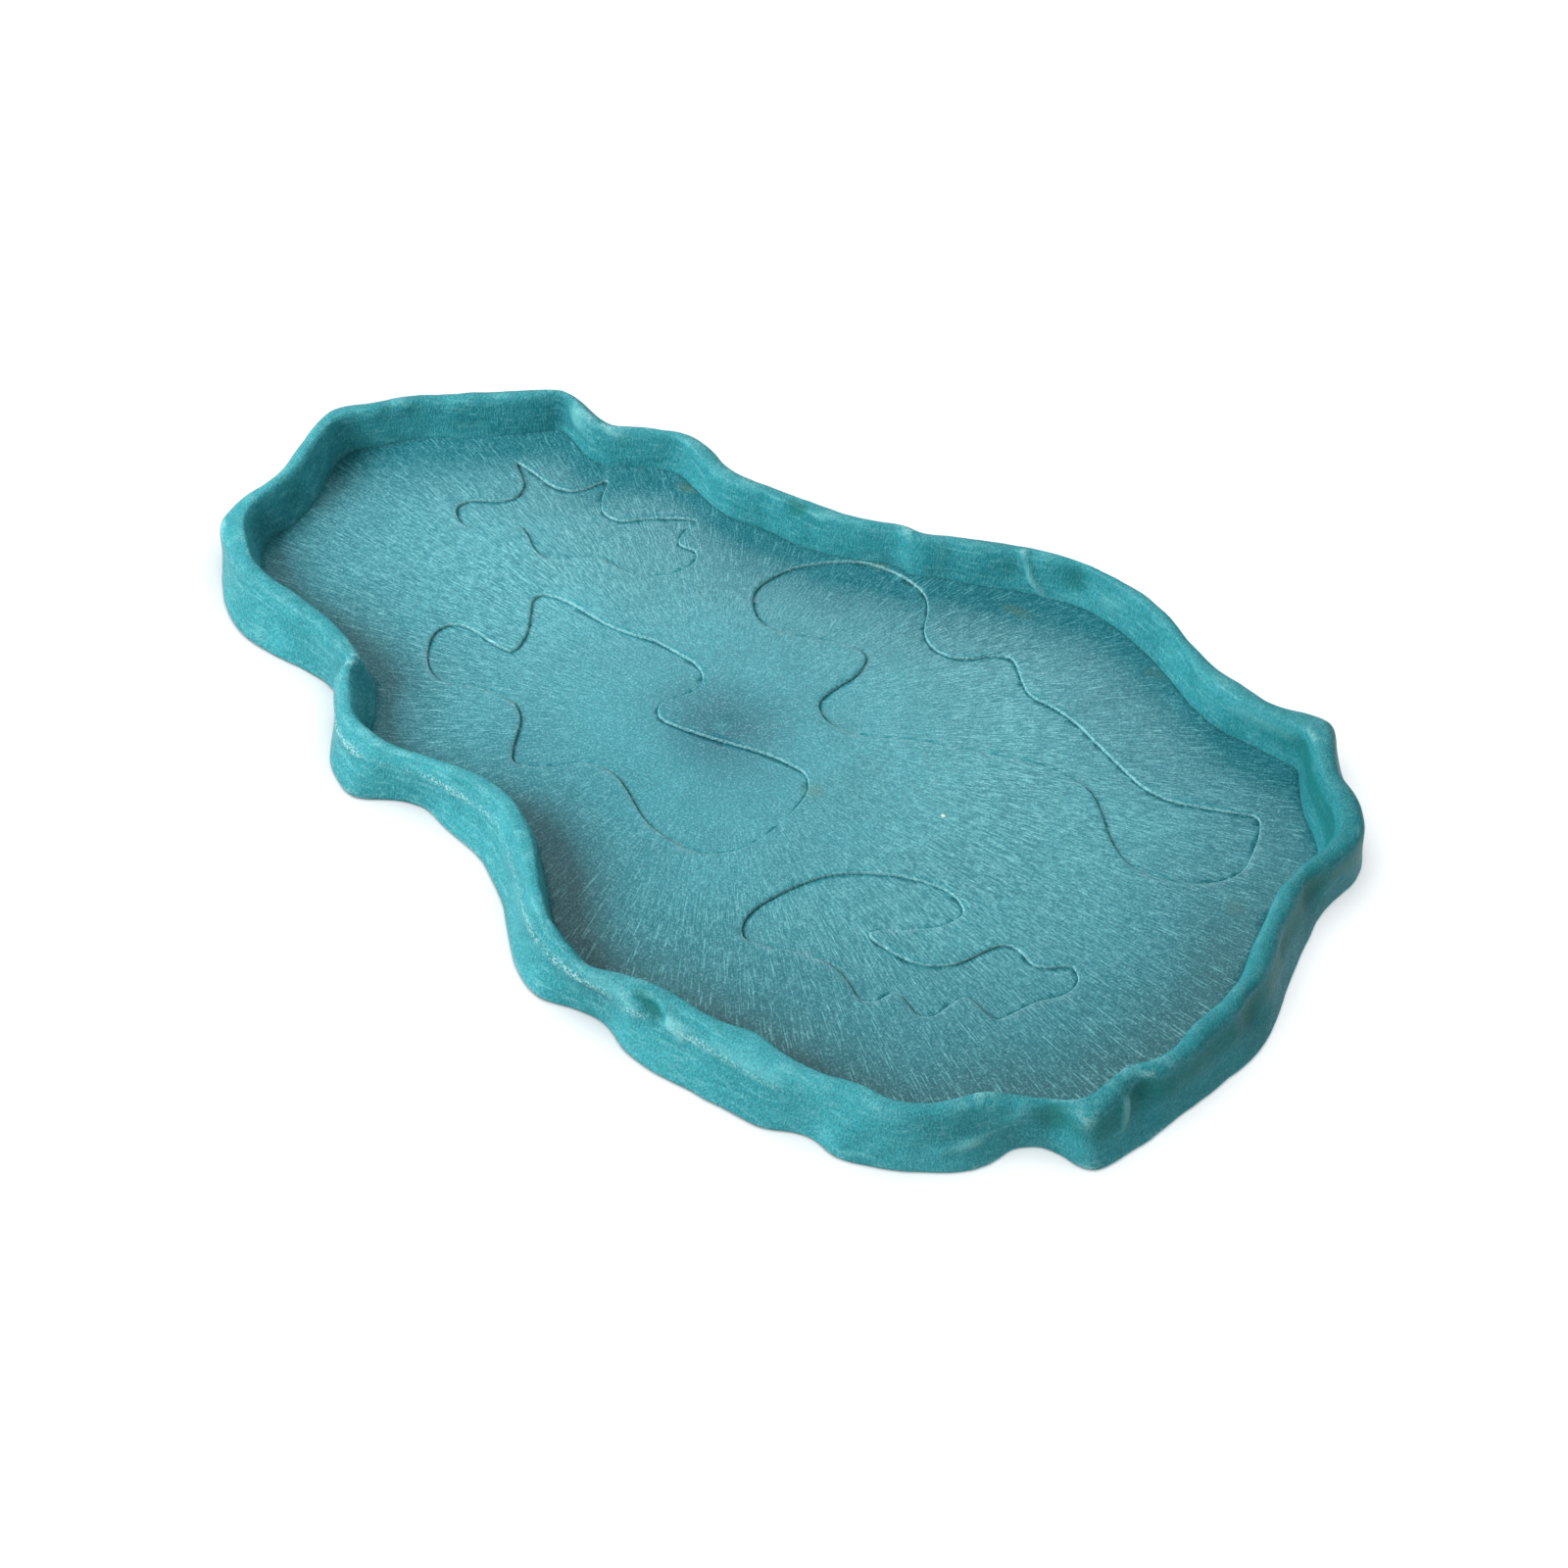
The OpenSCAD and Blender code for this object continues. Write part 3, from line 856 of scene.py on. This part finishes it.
def rim_finish():
    """The finish of the wavy wall."""
    material, tree, shader, place = start_finish("pearl rim")
    grains = use(tree, GRAIN, {"Place": place})
    fibres = use(tree, CROSSED_FIBRES, {"Place": place})
    convex, raised, shoulder = (kept(tree, name) for name in ("convex", "raised", "shoulder"))
    specks, flow = grains["Specks"], fibres["Flow"]
    tone = coat(tree, colour(WALL), WALL_CLOUD, 1.0, ease(tree, grains["Clouds"], 0.35, 0.65))
    # Painted shade in the folds
    tone = coat(tree, tone, PAINTED_SHADE_IN_FOLDS, 0.6, ease(tree, convex, 0.0, -0.25))
    tone = coat(tree, tone, CROSSED, 0.36, ease(tree, fibres["Fibres"], 0.5, 0.75))
    tone = coat(tree, tone, FLOWED, 0.32, ease(tree, flow, 0.5, 0.75))
    tone = coat(tree, tone, FLOW_GAP, 0.16, ease(tree, flow, 0.5, 0.28))
    tone = pepper(tree, tone, grains["Pepper"], 0.36)
    # Painted shade towards the right end and under the lip
    tone = paint_shade_at_the_right(tree, place, tone)
    # Painted shade in the dents, a painted highlight on the folds, and painted glints on the shoulder
    tone = coat(tree, tone, PAINTED_SHADE_IN_DENTS, 0.7, ease(tree, raised, -0.15, -1.3))
    tone = coat(tree, tone, PAINTED_HIGHLIGHT_ON_FOLDS, 0.45, ease(tree, raised, 0.15, 0.9))
    tone = coat(tree, tone, GLINT, 0.5, ease(tree, shoulder, 0.1, 0.6), ease(tree, specks, 0.46, 0.62))
    # Painted highlight on convex edges, in broken patches
    patches, dots = ease(tree, grains["Patches"], 0.4, 0.6), ease(tree, specks, 0.3, 0.55)
    tone = coat(tree, tone, PAINTED_HIGHLIGHT_ON_EDGES, 0.6, ease(tree, convex, 0.1, 0.6), patches, dots)
    height = maths(tree, "ADD", fibres["Fibres"], maths(tree, "MULTIPLY", specks, 0.7))
    bump = add(tree, "Bump", {"Height": height, "Strength": 0.8, "Distance": 0.3 * MM})
    shine = ease(tree, specks, 0.3, 0.7, 0.48, 0.36)
    feed(tree, shader, Base_Color=tone, Roughness=shine, Normal=bump.outputs[0])
    settle(shader, Specular_IOR_Level=0.14, Coat_Weight=0.03, Coat_Roughness=0.35)
    return material


rim_look = rim_finish()
rim_piece.data.materials.append(rim_look)
print("rim finish:", len(rim_look.node_tree.nodes), "nodes")

# %% [markdown]
# ## Light and stage
# A big soft window of light stands at the tray's left front, low enough for the front left wall to
# throw a soft shadow on the floor. A weaker one stands behind, and a low fill does the work of the
# light that a white table throws back. The pale table has a wide light of its own overhead, so it
# stays white and only a faint contact shadow is left round the tray. It doesn't tint or brighten
# the tray's own diffuse light, and a dim pale room fills the rest.

# %% Light and stage
TABLE_HALF = 3
ROOM_COLOUR = (0.93, 0.97, 1.0, 1)
ROOM_STRENGTH = 0.36

table = bmesh.new()
bmesh.ops.create_grid(table, x_segments=1, y_segments=1, size=TABLE_HALF)
table_piece = new_piece("table", table)
table_look, table_tree, table_shader, table_place = start_finish("pale table")
faint = blend(table_tree, speckle(table_tree, table_place, 0.02), colour("f4f6f7"), colour("f8f9fa"))
feed(table_tree, table_shader, Base_Color=faint)
settle(table_shader, Roughness=0.7, Specular_IOR_Level=0.2)
table_piece.data.materials.append(table_look)
table_piece.visible_diffuse = False

goods = bpy.data.collections.new("lit by the window")
for name in ("rim", "floor", *POOLS):
    goods.objects.link(bpy.data.objects[name])
table_only = bpy.data.collections.new("lit from overhead")
table_only.objects.link(table_piece)


def soft_light(name, heading, height, away, size, power, lights_up):
    """A square light that looks at the tray from a heading and height in degrees, away in metres."""
    data = bpy.data.lights.new(name, "AREA")
    data.size = size
    data.energy = power
    heading, height = math.radians(heading), math.radians(height)
    way = Vector((math.cos(heading) * math.cos(height), math.sin(heading) * math.cos(height),
                  math.sin(height)))
    light = bpy.data.objects.new(name, data)
    light.location = way * away
    light.rotation_euler = way.to_track_quat("Z", "Y").to_euler()
    light.light_linking.receiver_collection = lights_up
    bpy.context.scene.collection.objects.link(light)


soft_light("window", 217, 37, 0.82, 0.4, 8.2, goods)
soft_light("glow off the table", 296, 8, 0.9, 0.5, 2.5, goods)
soft_light("back window", 112, 36, 1.3, 0.6, 6, goods)
soft_light("overhead", 0, 90, 1.6, 2.4, 38, table_only)

world = bpy.data.worlds.new("room")
bpy.context.scene.world = world
world.use_nodes = True
room_light = world.node_tree.nodes["Background"].inputs
room_light["Color"].default_value = ROOM_COLOUR
room_light["Strength"].default_value = ROOM_STRENGTH
bpy.context.scene.view_settings.view_transform = "Standard"
